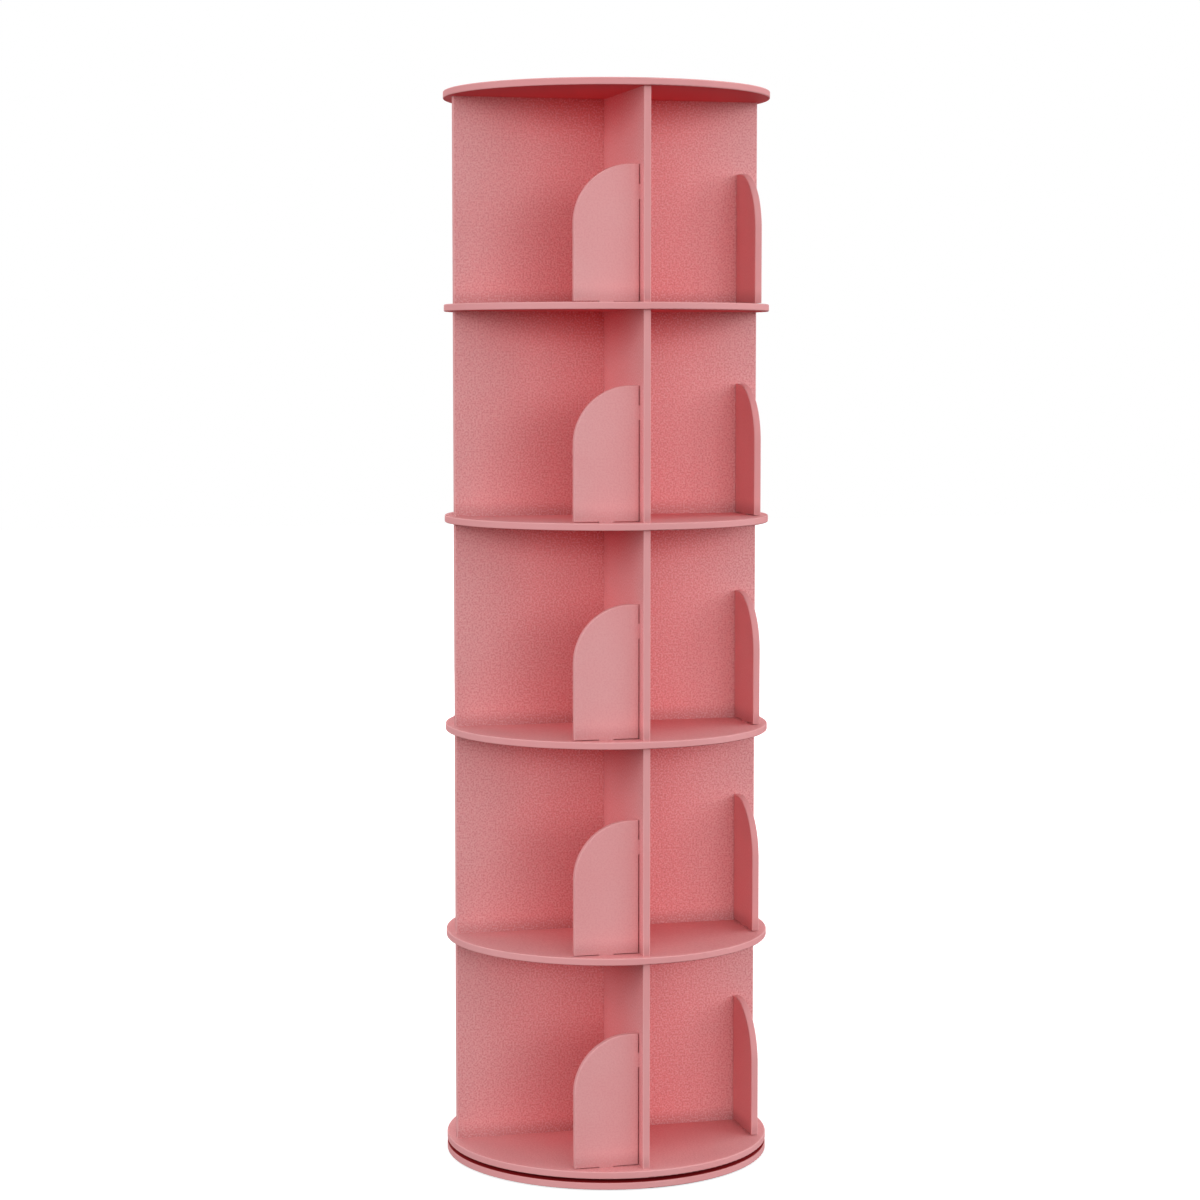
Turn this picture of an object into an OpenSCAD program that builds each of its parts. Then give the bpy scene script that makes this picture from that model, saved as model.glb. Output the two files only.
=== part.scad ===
// Revolving bookcase: round shelves held apart by crossed dividers, with an arched
// book stop on every divider, all turning on a flat ball turntable over a round base.
// The axis of the turntable is Z, the floor is z = 0, and the dividers run along X and Y.

/* [Shelves] */
// Diameter of the shelf discs and of the base plate
disc_d = 460; // [430:5:520]
// Thickness of the shelf discs and of the base plate
disc_t = 10; // [8:0.5:16]
// Number of book tiers
tiers = 5; // [2:1:5]
// Clear height of one tier, between two discs
tier_h = 287; // [240:1:340]
// Radius of the eased edges of all boards
edge_r = 1.5; // [0.4:0.1:2]

/* [Dividers] */
// Thickness of the divider boards
divider_t = 10; // [8:0.5:16]
// Distance from the rim of a disc to the outer end of a divider
divider_setback = 9; // [4:1:20]
// Length of the tenon under each arm of a divider
tenon_w = 45; // [30:1:50]
// Depth of a tenon in its disc
tenon_depth = 5; // [3:0.5:6]
// Clearance around tenons, tabs and the halved joint at the middle
joint_clear = 0.1; // [0.05:0.05:0.3]

/* [Book stops] */
// Thickness of the book stops
stop_t = 10; // [6:0.5:12]
// Width of a book stop, from its divider outwards
stop_w = 90; // [60:1:95]
// Height of the top of a book stop above its disc
stop_h = 185; // [120:1:220]
// Radius of the arched outer corner
arch_r = 80; // [20:1:90]
// Distance from the outer end of a divider to the front of its book stop
stop_setback = 21; // [10:1:40]
// Shadow gap under a book stop and beside it
stop_gap = 1.4; // [0.4:0.1:2]
// Width of the tab under a book stop
foot_tab_w = 20; // [12:1:40]
// Height of the tab on the side of a book stop
side_tab_h = 20; // [12:1:40]
// Height of the middle of the side tab above the disc
side_tab_z = 148; // [40:1:160]
// Depth of both tabs in their slots
tab_depth = 5; // [3:0.5:6]

/* [Base] */
// Diameter of a floor pad
pad_d = 25; // [15:1:40]
// Thickness of a floor pad
pad_t = 2; // [1:0.5:5]
// Number of floor pads
pad_count = 8; // [4:1:12]
// Distance from the rim of the base plate to the middle of a floor pad
pad_inset = 30; // [22:1:60]

/* [Turntable] */
// Diameter of the two bearing plates
plate_d = 200; // [180:5:220]
// Thickness of the bearing plates
plate_t = 1; // [0.8:0.1:2]
// Distance from the edge of the bearing plates to the ball race
race_inset = 20; // [14:1:25]
// Depth of the ball groove in each bearing plate
groove_depth = 0.5; // [0.3:0.05:0.7]
// Diameter of a ball
ball_d = 4; // [3.5:0.1:6]
// Number of balls
ball_count = 24; // [12:1:36]
// Running clearance of the balls in their grooves
ball_clear = 0.05; // [0.02:0.01:0.08]
// Width of the ball retainer ring
retainer_w = 14; // [10:1:18]
// Thickness of the ball retainer ring
retainer_t = 1.2; // [0.8:0.1:2]
// Diameter of the pivot rivet where the plates turn on it
rivet_d = 12; // [10:0.5:16]
// Diameter of the bore of the hollow rivet
rivet_bore_d = 8; // [5:0.5:8.5]
// Diameter of the rivet collar that keeps the plates apart
collar_d = 18; // [17:0.5:24]
// Diameter of the rivet head
rivet_head_d = 22; // [18:0.5:28]
// Thickness of the rivet head
rivet_head_t = 1.5; // [1:0.1:2.5]
// Play of the rivet along and around the axis
rivet_clear = 0.05; // [0.02:0.01:0.1]
// Distance from the ball race to the circle of plate screws
plate_screw_inset = 20; // [16:1:28]
// Diameter of the holes that give access to the screws of the lower plate
access_d = 9; // [8:0.5:12]

/* [Fasteners] */
// Diameter of the board screws
screw_d = 3.5; // [3:0.1:4.5]
// Diameter of the countersunk head
screw_head_d = 7; // [6:0.1:9]
// Length of the board screws
screw_l = 35; // [25:1:45]
// Clearance around a screw
screw_clear = 0.05; // [0.02:0.01:0.1]
// Distance of the inner row of board screws from the axis
screw_r_in = 110; // [95:1:120]
// Distance from the outer end of a divider to the outer board screw
screw_end_inset = 26; // [15:1:35]
// Height of the pan heads on the lower bearing plate
pan_head_h = 2; // [1.5:0.1:2.5]
// Depth of the lower plate's screws in the base plate
plate_screw_grip = 6.5; // [5:0.5:7]
// Diameter of a cover cap on the top disc
cap_d = 12; // [10:0.5:16]
// Thickness of a cover cap
cap_t = 2.5; // [1.5:0.1:3]

/* [Hidden] */
$fn = 96;
board_pink = "#d49494";
steel = "#b9bcc0";
zinc = "#c8ccd2";
ball_steel = "#d8dade";
pad_grey = "#3b3b3d";
cap_pink = "#d08e90";

// Overlap of joined shapes, and how far a cut runs past the face it starts from
bite = 1;
// Flat width and depth of the cross recess in a screw head
recess_w = 0.9;
recess_depth = 1.4;
// Length of a screw's point, the radius it ends in, and the room left past it
tip_l = 4;
tip_r = 0.3;
tip_room = 0.5;
// Free room over the rivet head inside the bottom disc
head_room = 0.5;
head_side_room = 1;

disc_r = disc_d / 2;
divider_reach = disc_r - divider_setback;
lap_w = divider_t + 2 * joint_clear;
screw_r_out = divider_reach - screw_end_inset;
screw_radii = [screw_r_in, screw_r_out];
tenon_r = (screw_r_in + screw_r_out) / 2;

stop_x = divider_reach - stop_setback - stop_t;
stop_mid_x = stop_x + stop_t / 2;
stop_side_y = divider_t / 2 + stop_gap;
stop_mid_y = stop_side_y + stop_w / 2;

plate_r = plate_d / 2;
race_r = plate_r - race_inset;
plate_screw_r = race_r - plate_screw_inset;
bearing_h = 2 * (plate_t - groove_depth) + ball_d + 2 * ball_clear;

turntable_z = pad_t + disc_t;
function disc_z(level) = turntable_z + bearing_h + level * (tier_h + disc_t);
function tier_z(tier) = disc_z(tier - 1) + disc_t;

// The screws of the top disc sit lower, under their cover caps
function screw_drop(tier) = tier == tiers ? cap_t : 0;

// The four arms of the dividers and the angle of each from +X
side_names = ["right", "back", "left", "front"];
function side_angle(i) = 90 * i;
all_arms = [0, 90, 180, 270];
plate_screw_angles = [45, 135, 225, 315];
access_angles = all_arms;

// Outline of a board's section from x = 0 to its eased outer edge
module eased_edge(length, thickness) {
    e = min(edge_r, thickness / 2 - 0.1);
    square([length - e, thickness]);
    translate([0, e]) square([length, thickness - 2 * e]);
    for (y = [e, thickness - e]) translate([length - e, y]) circle(e);
}

// Round board with eased rims, its underside on z = 0
module eased_disc(radius, thickness) {
    rotate_extrude() eased_edge(radius, thickness);
}

// Tenon that points down from z = 0, joined to a board that starts at z = rise
module tenon(size, rise = 0) {
    translate([-size.x / 2, -size.y / 2, -size.z]) cube([size.x, size.y, size.z + rise + bite]);
}

// Socket that takes such a tenon with clearance at its sides, its floor under the tenon's end
module socket(size) {
    wide = [size.x + 2 * joint_clear, size.y + 2 * joint_clear, size.z];
    translate([-wide.x / 2, -wide.y / 2, -wide.z]) cube([wide.x, wide.y, wide.z + bite]);
}

divider_tenon = [tenon_w, divider_t, tenon_depth];
foot_tab = [stop_t, foot_tab_w, tab_depth];
side_tab = [stop_t, side_tab_h, tab_depth];

// Places of the joints on an arm that runs along +X, with z = 0 at the top of the disc
module at_divider_tenon() translate([tenon_r, 0, 0]) children();
module at_foot_tab() translate([stop_mid_x, -stop_mid_y, 0]) children();
module at_side_tab() translate([stop_mid_x, -divider_t / 2, side_tab_z]) rotate([90, 0, 0]) children();

// Places of the board screws, at z = 0, on the given arms
module at_board_screws(arms) {
    for (a = arms, r = screw_radii) rotate(a) translate([r, 0, 0]) children();
}

// Places of the plate screws, at z = 0
module at_plate_screws(angles) {
    for (a = angles) rotate(a) translate([plate_screw_r, 0, 0]) children();
}

// Countersunk screw with its head at z = 0 and its point down
module countersunk_screw(length) {
    head_h = (screw_head_d - screw_d) / 2;
    difference() {
        rotate_extrude() polygon([
            [0, 0],
            [screw_head_d / 2, 0],
            [screw_d / 2, -head_h],
            [screw_d / 2, tip_l - length],
            [tip_r, -length],
            [0, -length]
        ]);
        for (a = [0, 90]) rotate(a) translate([-screw_d / 2, -recess_w / 2, -recess_depth])
            cube([screw_d, recess_w, recess_depth + bite]);
    }
}

// Hole for a countersunk screw, open above its head
module countersunk_hole(length) {
    head_h = (screw_head_d - screw_d) / 2;
    hole_r = screw_d / 2 + screw_clear;
    mouth_r = screw_head_d / 2 + screw_clear;
    rotate_extrude() polygon([
        [0, bite],
        [mouth_r, bite],
        [mouth_r, 0],
        [hole_r, -head_h],
        [hole_r, -length - tip_room],
        [0, -length - tip_room]
    ]);
}

// Pan head screw seated on z = 0, with its point down
module pan_screw(length) {
    rotate_extrude() polygon([
        [0, pan_head_h],
        [screw_head_d / 2 - pan_head_h / 2, pan_head_h],
        [screw_head_d / 2, pan_head_h / 2],
        [screw_head_d / 2, 0],
        [screw_d / 2, 0],
        [screw_d / 2, tip_l - length],
        [tip_r, -length],
        [0, -length]
    ]);
}

// Clearance hole through a bearing plate that starts at z = 0
module plate_hole(diameter) {
    translate([0, 0, -bite]) cylinder(h = plate_t + 2 * bite, d = diameter);
}

// Bearing plate with its ball groove on the upper face
module bearing_plate() {
    bore_r = rivet_d / 2 + rivet_clear;
    rotate_extrude() difference() {
        translate([bore_r, 0]) square([plate_r - bore_r, plate_t]);
        translate([race_r, bearing_h / 2]) circle(ball_d / 2 + ball_clear);
    }
}

module base_plate() {
    color(board_pink) difference() {
        translate([0, 0, pad_t]) eased_disc(disc_r, disc_t);
        translate([0, 0, turntable_z]) at_plate_screws(access_angles)
            translate([0, 0, -plate_screw_grip - tip_room])
                cylinder(h = plate_screw_grip + tip_room + bite, d = screw_d + 2 * screw_clear);
    }
}

module floor_pads() {
    color(pad_grey) for (i = [0 : pad_count - 1]) rotate((i + 0.5) * 360 / pad_count)
        translate([disc_r - pad_inset, 0, 0]) eased_disc(pad_d / 2, pad_t);
}

module bearing_lower_plate() {
    color(steel) translate([0, 0, turntable_z]) difference() {
        bearing_plate();
        at_plate_screws(access_angles) plate_hole(screw_d + 2 * screw_clear);
    }
}

module lower_plate_screws() {
    color(zinc) translate([0, 0, turntable_z + plate_t])
        at_plate_screws(access_angles) pan_screw(plate_t + plate_screw_grip);
}

module bearing_upper_plate() {
    color(steel) translate([0, 0, turntable_z + bearing_h]) mirror([0, 0, 1]) difference() {
        bearing_plate();
        at_plate_screws(access_angles) plate_hole(access_d);
        at_plate_screws(plate_screw_angles) plate_hole(screw_d + 2 * screw_clear);
    }
}

module upper_plate_screws() {
    color(zinc) translate([0, 0, tier_z(1)])
        at_plate_screws(plate_screw_angles) countersunk_screw(disc_t + plate_t);
}

// Hollow rivet: tail in the lower plate, collar between the plates, head over the upper plate
module pivot_rivet() {
    bore_r = rivet_bore_d / 2;
    neck_r = rivet_d / 2;
    collar_top = bearing_h - plate_t - rivet_clear;
    head_z = bearing_h + rivet_clear;
    color(zinc) translate([0, 0, turntable_z]) rotate_extrude() polygon([
        [bore_r, 0],
        [neck_r, 0],
        [neck_r, plate_t],
        [collar_d / 2, plate_t],
        [collar_d / 2, collar_top],
        [neck_r, collar_top],
        [neck_r, head_z],
        [rivet_head_d / 2, head_z],
        [rivet_head_d / 2, head_z + rivet_head_t],
        [bore_r, head_z + rivet_head_t]
    ]);
}

// Places of the balls, evenly spaced around the race
module at_balls() {
    for (i = [0 : ball_count - 1]) rotate(i * 360 / ball_count)
        translate([race_r, 0, turntable_z + bearing_h / 2]) children();
}

module ball_retainer() {
    color(steel) difference() {
        translate([0, 0, turntable_z + (bearing_h - retainer_t) / 2]) rotate_extrude()
            translate([race_r - retainer_w / 2, 0]) square([retainer_w, retainer_t]);
        at_balls() cylinder(h = retainer_t + 2 * bite, d = ball_d + 2 * ball_clear, center = true);
    }
}

module bearing_balls() {
    color(ball_steel) at_balls() sphere(d = ball_d);
}

// Shelf board on z = 0 with the sockets for the dividers and stops that stand on it
module socketed_disc() {
    difference() {
        eased_disc(disc_r, disc_t);
        for (a = all_arms) rotate(a) translate([0, 0, disc_t]) {
            at_divider_tenon() socket(divider_tenon);
            at_foot_tab() socket(foot_tab);
        }
    }
}

module bottom_disc() {
    color(board_pink) translate([0, 0, disc_z(0)]) difference() {
        socketed_disc();
        at_board_screws(all_arms) rotate([180, 0, 0]) countersunk_hole(screw_l);
        translate([0, 0, disc_t]) at_plate_screws(plate_screw_angles) countersunk_hole(disc_t + plate_t);
        translate([0, 0, -bite]) cylinder(
            h = bite + rivet_clear + rivet_head_t + head_room,
            r = rivet_head_d / 2 + head_side_room
        );
    }
}

module bottom_disc_screws() {
    color(zinc) translate([0, 0, disc_z(0)])
        at_board_screws(all_arms) rotate([180, 0, 0]) countersunk_screw(screw_l);
}

module shelf_disc(level) {
    color(board_pink) translate([0, 0, disc_z(level)]) difference() {
        socketed_disc();
        translate([0, 0, disc_t]) at_board_screws(all_arms) countersunk_hole(screw_l);
    }
}

module top_disc() {
    color(board_pink) translate([0, 0, disc_z(tiers)]) difference() {
        eased_disc(disc_r, disc_t);
        translate([0, 0, disc_t - cap_t]) at_board_screws(all_arms) {
            countersunk_hole(screw_l);
            cylinder(h = cap_t + bite, d = cap_d + 2 * joint_clear);
        }
    }
}

module disc_screws() {
    color(zinc) for (tier = [1 : tiers])
        translate([0, 0, disc_z(tier) + disc_t - screw_drop(tier)])
            at_board_screws(all_arms) countersunk_screw(screw_l);
}

module screw_caps() {
    color(cap_pink) translate([0, 0, disc_z(tiers) + disc_t - cap_t])
        at_board_screws(all_arms) eased_disc(cap_d / 2, cap_t);
}

// Divider board along X, standing on z = 0, halved at the middle from the top or from below
module divider(tier, halved_from_top) {
    ends = [0, 180];
    difference() {
        union() {
            linear_extrude(tier_h) for (m = [0, 1]) mirror([m, 0])
                translate([0, -divider_t / 2]) eased_edge(divider_reach, divider_t);
            for (a = ends) rotate(a) at_divider_tenon() tenon(divider_tenon);
        }
        translate([-lap_w / 2, -divider_t, halved_from_top ? tier_h / 2 : -bite])
            cube([lap_w, 2 * divider_t, tier_h / 2 + bite]);
        for (a = ends) rotate(a) at_side_tab() socket(side_tab);
        translate([0, 0, tier_h + disc_t - screw_drop(tier)]) at_board_screws(ends) countersunk_hole(screw_l);
        if (tier == 1) translate([0, 0, -disc_t]) at_board_screws(ends)
            rotate([180, 0, 0]) countersunk_hole(screw_l);
    }
}

module divider_left_right(tier) {
    color(board_pink) translate([0, 0, tier_z(tier)]) divider(tier, true);
}

module divider_front_back(tier) {
    color(board_pink) translate([0, 0, tier_z(tier)]) rotate(90) divider(tier, false);
}

// Plate of a book stop: width along +X, thickness along +Y, arched at its outer upper corner
module stop_plate(height) {
    r = min(arch_r, stop_w, height);
    linear_extrude(height - r) eased_edge(stop_w, stop_t);
    translate([stop_w - r, stop_t, height - r]) rotate([90, 0, 0])
        rotate_extrude(angle = 90) eased_edge(r, stop_t);
    if (stop_w > r) translate([0, stop_t, height - r]) rotate(a = 180, v = [1, 0, 1])
        linear_extrude(stop_w - r) eased_edge(r, stop_t);
}

// Book stop on the arm along +X, with its two tabs
module book_stop() {
    translate([stop_x, -stop_side_y, stop_gap]) rotate(-90) stop_plate(stop_h - stop_gap);
    at_foot_tab() tenon(foot_tab, stop_gap);
    at_side_tab() tenon(side_tab, stop_gap);
}

module placed_stop(tier, side) {
    color(board_pink) translate([0, 0, tier_z(tier)]) rotate(side_angle(side)) book_stop();
}

base_plate();
floor_pads();
bearing_lower_plate();
lower_plate_screws();
pivot_rivet();
ball_retainer();
bearing_balls();
bearing_upper_plate();
upper_plate_screws();
bottom_disc();
bottom_disc_screws();
for (i = [1 : tiers - 1]) shelf_disc(i);
top_disc();
disc_screws();
screw_caps();
for (i = [1 : tiers])
    divider_left_right(i);
for (i = [1 : tiers])
    divider_front_back(i);
for (i = [1 : tiers], k = [0 : len(side_names) - 1])
    placed_stop(i, k);
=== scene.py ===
"""Looks of a revolving bookcase in pink coated board.

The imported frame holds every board, screw and bearing part in its place. This script
gives each of them a procedural finish, adds the pieces that are too fine for the
frame, and sets up the floor, the light and the camera. Lengths are in metres.
"""

from __future__ import annotations

import logging
import math
from dataclasses import dataclass
from enum import Enum
from typing import Any, Union

import bmesh
import bpy
import numpy as np
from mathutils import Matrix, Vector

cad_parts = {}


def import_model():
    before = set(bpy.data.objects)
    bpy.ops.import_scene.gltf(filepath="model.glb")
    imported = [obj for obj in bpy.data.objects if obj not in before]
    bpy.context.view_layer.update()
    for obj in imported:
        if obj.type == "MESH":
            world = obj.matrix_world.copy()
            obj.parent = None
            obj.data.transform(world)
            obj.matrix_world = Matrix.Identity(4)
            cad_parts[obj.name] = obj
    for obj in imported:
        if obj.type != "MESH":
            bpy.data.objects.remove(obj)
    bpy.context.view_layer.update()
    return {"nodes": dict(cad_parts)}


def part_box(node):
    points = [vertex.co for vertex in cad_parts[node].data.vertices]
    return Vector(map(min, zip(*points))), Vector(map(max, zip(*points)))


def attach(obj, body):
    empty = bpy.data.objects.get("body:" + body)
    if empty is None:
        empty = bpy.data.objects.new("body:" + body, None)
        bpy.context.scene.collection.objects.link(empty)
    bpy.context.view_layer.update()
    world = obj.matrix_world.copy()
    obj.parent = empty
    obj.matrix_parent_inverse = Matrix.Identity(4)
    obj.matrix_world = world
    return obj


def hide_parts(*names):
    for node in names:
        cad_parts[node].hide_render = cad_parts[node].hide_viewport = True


log = logging.getLogger("bookcase")

MM = 0.001
# Numbers of the Mix node's sockets for colours
MIX_FACTOR, MIX_FIRST, MIX_SECOND = 0, 6, 7
MIX_RESULT = 2

Nodes = dict[str, bpy.types.Object]
Operand = Union["Value", float]
Linear = tuple[float, float, float, float]
Range = tuple[float, float]


class Axis(Enum):
    """Direction of a board's thickness."""

    X = 0
    Y = 1
    Z = 2


class Face(Enum):
    """Face of a level board, by the sign of its direction along Z."""

    TOP = 1.0
    UNDERSIDE = -1.0


class Side(Enum):
    """Arm of the dividers, with the thickness direction of the stop on it."""

    RIGHT = ("right", Axis.X)
    BACK = ("back", Axis.Y)
    LEFT = ("left", Axis.X)
    FRONT = ("front", Axis.Y)

    @property
    def word(self) -> str:
        """The arm's word in the node names."""
        return self.value[0]

    @property
    def stop_axis(self) -> Axis:
        """Direction of the thickness of the stop on this arm."""
        return self.value[1]


class Body(Enum):
    """Rigid bodies of the frame that new pieces ride on."""

    BASE = "base"
    CAROUSEL = "carousel"


class Slot(Enum):
    """Material slots of the record."""

    RUBBER = "rubber_pads"
    CAPS = "cap_plastic"
    ZINC = "zinc_screws"


@dataclass(frozen=True)
class Colour:
    """Colour as it is seen on a screen, each channel from 0 to 255."""

    red: float
    green: float
    blue: float

    def linear(self) -> Linear:
        """Works out the light that the colour stands for.

        By the screen's transfer curve, a channel c up to 0.04045 stands for c / 12.92, and a
        higher one for ((c + 0.055) / 1.055)^2.4.

        Returns:
            Red, green and blue from 0 to 1, and a full alpha.
        """
        seen = np.array([self.red, self.green, self.blue]) / 255.0
        light = np.where(seen <= 0.04045, seen / 12.92, ((seen + 0.055) / 1.055) ** 2.4)
        return (*light.tolist(), 1.0)


# Painted shade on the faces in the dark gap over the base plate
GAP_SHADE_COLOUR = Colour(168, 30, 36)
# Angles of the divider arms from +X
ARMS = np.arange(len(Side)) * 2.0 * np.pi / len(Side)
# Distance of the inner board screws from the axis, and of the outer ones from the arm's end
INNER_ROW = 110 * MM
OUTER_ROW_INSET = 26 * MM


def grey(level: float) -> Linear:
    """Light of one strength in all its channels."""
    return (level, level, level, 1.0)


def board_rows() -> list[float]:
    """Distances of the two rows of board screws from the turning axis."""
    return [INNER_ROW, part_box("tier_1_divider_left_right")[1].x - OUTER_ROW_INSET]


@dataclass(frozen=True)
class Value:
    """A number in a node tree, whose operators add Math nodes."""

    graph: Graph
    socket: bpy.types.NodeSocket

    def math(self, operation: str, *operands: Operand) -> Value:
        """Adds one Math node.

        Args:
            operation: The Math node's operation.
            operands: Its inputs in order, as values or plain numbers.

        Returns:
            The node's result.
        """
        node = self.graph.node("ShaderNodeMath", {"operation": operation}, dict(enumerate(operands)))
        return Value(self.graph, node.outputs[0])

    def __add__(self, other: Operand) -> Value:
        """Sum."""
        return self.math("ADD", self, other)

    def __radd__(self, other: float) -> Value:
        """Sum with a number on the left."""
        return self.math("ADD", other, self)

    def __sub__(self, other: Operand) -> Value:
        """Difference."""
        return self.math("SUBTRACT", self, other)

    def __rsub__(self, other: float) -> Value:
        """Difference with a number on the left."""
        return self.math("SUBTRACT", other, self)

    def __mul__(self, other: Operand) -> Value:
        """Product."""
        return self.math("MULTIPLY", self, other)

    def __rmul__(self, other: float) -> Value:
        """Product with a number on the left."""
        return self.math("MULTIPLY", other, self)

    def __pow__(self, other: Operand) -> Value:
        """Power."""
        return self.math("POWER", self, other)

    def __abs__(self) -> Value:
        """Distance from zero."""
        return self.math("ABSOLUTE", self)

    def between(self, low: float, high: float) -> Value:
        """Scales a share from 0 to 1 to a range from low to high."""
        return low + (high - low) * self

    def fraction(self) -> Value:
        """What is left over the whole number below."""
        return self.math("FRACT", self)

    def rise(self, low: float, high: float) -> Value:
        """Smooth step.

        Args:
            low: Value at which the step starts.
            high: Value at which it ends.

        Returns:
            0 below the first value, 1 above the second, and a smooth rise between them.
        """
        inputs = {"Value": self, "From Min": low, "From Max": high}
        node = self.graph.node("ShaderNodeMapRange", {"interpolation_type": "SMOOTHSTEP"}, inputs)
        return Value(self.graph, node.outputs["Result"])


class Graph:
    """Node tree of one material or of the world."""

    def __init__(self, tree: bpy.types.NodeTree) -> None:
        """Takes a tree and empties it.

        Args:
            tree: The node tree to fill.
        """
        self.tree = tree
        tree.nodes.clear()

    def node(
        self,
        kind: str,
        settings: dict[str, Any] | None = None,
        inputs: dict[str | int, Any] | None = None,
    ) -> bpy.types.Node:
        """Adds one node.

        Args:
            kind: The node's type.
            settings: Attributes of the node, which are set first.
            inputs: Values or links of its sockets, by name or by number.

        Returns:
            The new node.
        """
        node = self.tree.nodes.new(kind)
        for name, setting in (settings or {}).items():
            setattr(node, name, setting)
        for place, given in (inputs or {}).items():
            source = given.socket if isinstance(given, Value) else given
            if isinstance(source, bpy.types.NodeSocket):
                self.tree.links.new(source, node.inputs[place])
            else:
                node.inputs[place].default_value = source
        return node

    def place(self) -> bpy.types.NodeSocket:
        """Place on the object, in the shared frame."""
        return self.node("ShaderNodeTexCoord").outputs["Object"]

    def coordinate(self, axis: Axis) -> Value:
        """One coordinate of the place on the object.

        Args:
            axis: Which coordinate.

        Returns:
            The coordinate.
        """
        parts = self.node("ShaderNodeSeparateXYZ", None, {"Vector": self.place()})
        return Value(self, parts.outputs[axis.value])

    def noise(self, size: float, detail: float = 2.0) -> Value:
        """Soft random pattern.

        Args:
            size: Width of its patches.
            detail: Octaves of finer patches on them.

        Returns:
            A value around a half.
        """
        inputs = {"Vector": self.place(), "Scale": 1.0 / size, "Detail": detail}
        return Value(self, self.node("ShaderNodeTexNoise", None, inputs).outputs["Fac"])

    def cells(self, size: float) -> bpy.types.NodeSocket:
        """Random colour for each cell of a crystal pattern.

        Args:
            size: Width of a cell.

        Returns:
            The colour socket.
        """
        inputs = {"Vector": self.place(), "Scale": 1.0 / size}
        return self.node("ShaderNodeTexVoronoi", None, inputs).outputs["Color"]

    def blend(self, factor: Value, first: Any, second: Any) -> bpy.types.NodeSocket:
        """Mixes two colours.

        Args:
            factor: Share of the second colour.
            first: Colour or colour socket where the factor is 0.
            second: Colour or colour socket where the factor is 1.

        Returns:
            The mixed colour.
        """
        inputs = {MIX_FACTOR: factor, MIX_FIRST: first, MIX_SECOND: second}
        return self.node("ShaderNodeMix", {"data_type": "RGBA"}, inputs).outputs[MIX_RESULT]

    def bump(self, height: Value, depth: float) -> bpy.types.NodeSocket:
        """Turns a height into a surface normal.

        Args:
            height: Height of the surface, from 0 to 1.
            depth: Depth that a height of 1 stands for.

        Returns:
            The normal.
        """
        inputs = {"Height": height, "Distance": depth, "Strength": 1.0}
        return self.node("ShaderNodeBump", None, inputs).outputs["Normal"]

    def axis_distance(self) -> Value:
        """Distance from the turning axis."""
        x, y = self.coordinate(Axis.X), self.coordinate(Axis.Y)
        return (x * x + y * y) ** 0.5

    def rays(self, *kinds: str) -> Value:
        """Tells some kinds of rays from the others.

        Args:
            kinds: Words for the kinds, such as Camera or Glossy.

        Returns:
            1 for rays of these kinds, and 0 for the rest.
        """
        path = self.node("ShaderNodeLightPath").outputs
        return sum(Value(self, path[f"Is {kind} Ray"]) for kind in kinds)


@dataclass(frozen=True)
class Finish:
    """A procedural surface, kept as one material for each name.

    No name is one of the record's slots, whose own materials come with the frame.
    """

    name: str

    def shade(self, graph: Graph) -> dict[str, Any]:
        """Works out the inputs of the Principled shader.

        Args:
            graph: The material's node tree.

        Returns:
            Values and links by socket name.
        """
        raise NotImplementedError

    def material(self) -> bpy.types.Material:
        """Makes the material, or finds it if it was made before.

        Returns:
            The material.
        """
        made = bpy.data.materials.get(self.name)
        if made is None:
            made = bpy.data.materials.new(self.name)
            made.use_nodes = True
            graph = Graph(made.node_tree)
            shader = graph.node("ShaderNodeBsdfPrincipled", None, self.shade(graph))
            graph.node("ShaderNodeOutputMaterial", None, {"Surface": shader.outputs["BSDF"]})
        return made

    def dress(self, piece: bpy.types.Object) -> None:
        """Puts the finish on every material slot of a piece.

        Args:
            piece: The object to dress.
        """
        if not piece.material_slots:
            piece.data.materials.append(None)
        for place in piece.material_slots:
            place.material = self.material()


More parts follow.
